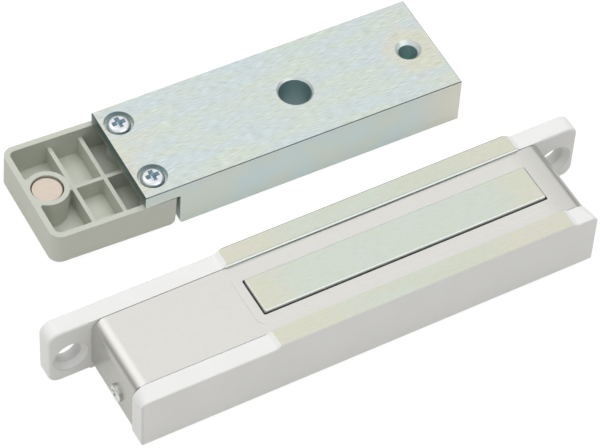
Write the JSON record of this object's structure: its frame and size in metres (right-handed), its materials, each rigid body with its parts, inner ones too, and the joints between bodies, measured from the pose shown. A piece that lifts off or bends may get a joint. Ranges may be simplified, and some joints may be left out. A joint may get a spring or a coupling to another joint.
{
  "type": "electromagnetic lock",
  "caption": "Surface-mounted electromagnetic door lock: an eared magnet unit with flush pole faces and, beside it, its steel armature bar with a small magnet holder.",
  "frame": {"origin": "centre of the magnet unit's flat underside, between its ends and its two long faces", "axes": "+X along the magnet unit towards the end with the pole faces, +Y towards its mounting face and ears, +Z out of the pole faces"},
  "size_m": [0.1904, 0.1164, 0.0245],
  "materials": {
    "white_powder_coat": "fine satin white powder coat",
    "zinc_plated_poles": "milled, zinc plated, pale yellow-green sheen",
    "zinc_plated_bar": "ground along its length, zinc plated, pale blue sheen",
    "satin_sheet": "satin stainless sheet, soft folded edges",
    "cover_screw_steel": "dull nickel-plated screw",
    "screw_steel": "bright zinc plated",
    "grey_plastic": "satin moulded grey plastic",
    "magnet_nickel": "satin nickel plate",
    "bobbin_plastic": "moulded black plastic",
    "enamelled_copper": "enamelled copper wire",
    "coil_tape": "polyester tape",
    "potting_resin": "cast resin",
    "lead_insulation": "soft insulation",
    "board_laminate": "green solder mask",
    "terminal_plastic": "moulded green plastic",
    "relay_case": "moulded case",
    "suppressor_coating": "dipped coating",
    "capacitor_sleeve": "shrink sleeve",
    "sensor_case": "moulded case",
    "black_rubber": "moulded rubber"
  },
  "bodies": {
    "root": {"housing": "white_powder_coat", "center_pole": "zinc_plated_poles", "coil_bobbin": "bobbin_plastic", "coil_winding": "enamelled_copper", "coil_tape": "coil_tape", "potting_resin": "potting_resin", "coil_leads": "lead_insulation", "core_screws": "screw_steel", "cover": "satin_sheet", "cover_screw_left": "cover_screw_steel", "cover_screw_right": "cover_screw_steel", "circuit_board": "board_laminate", "board_screws": "screw_steel", "terminal_block": "terminal_plastic", "terminal_screws": "screw_steel", "relay": "relay_case", "surge_suppressor": "suppressor_coating", "capacitor": "capacitor_sleeve", "field_sensor": "sensor_case", "cable_grommet": "black_rubber", "armature_bar": "zinc_plated_bar", "magnet_holder": "grey_plastic", "sensor_magnet": "magnet_nickel", "holder_screw_near": "screw_steel", "holder_screw_far": "screw_steel"}
  },
  "joints": []
}
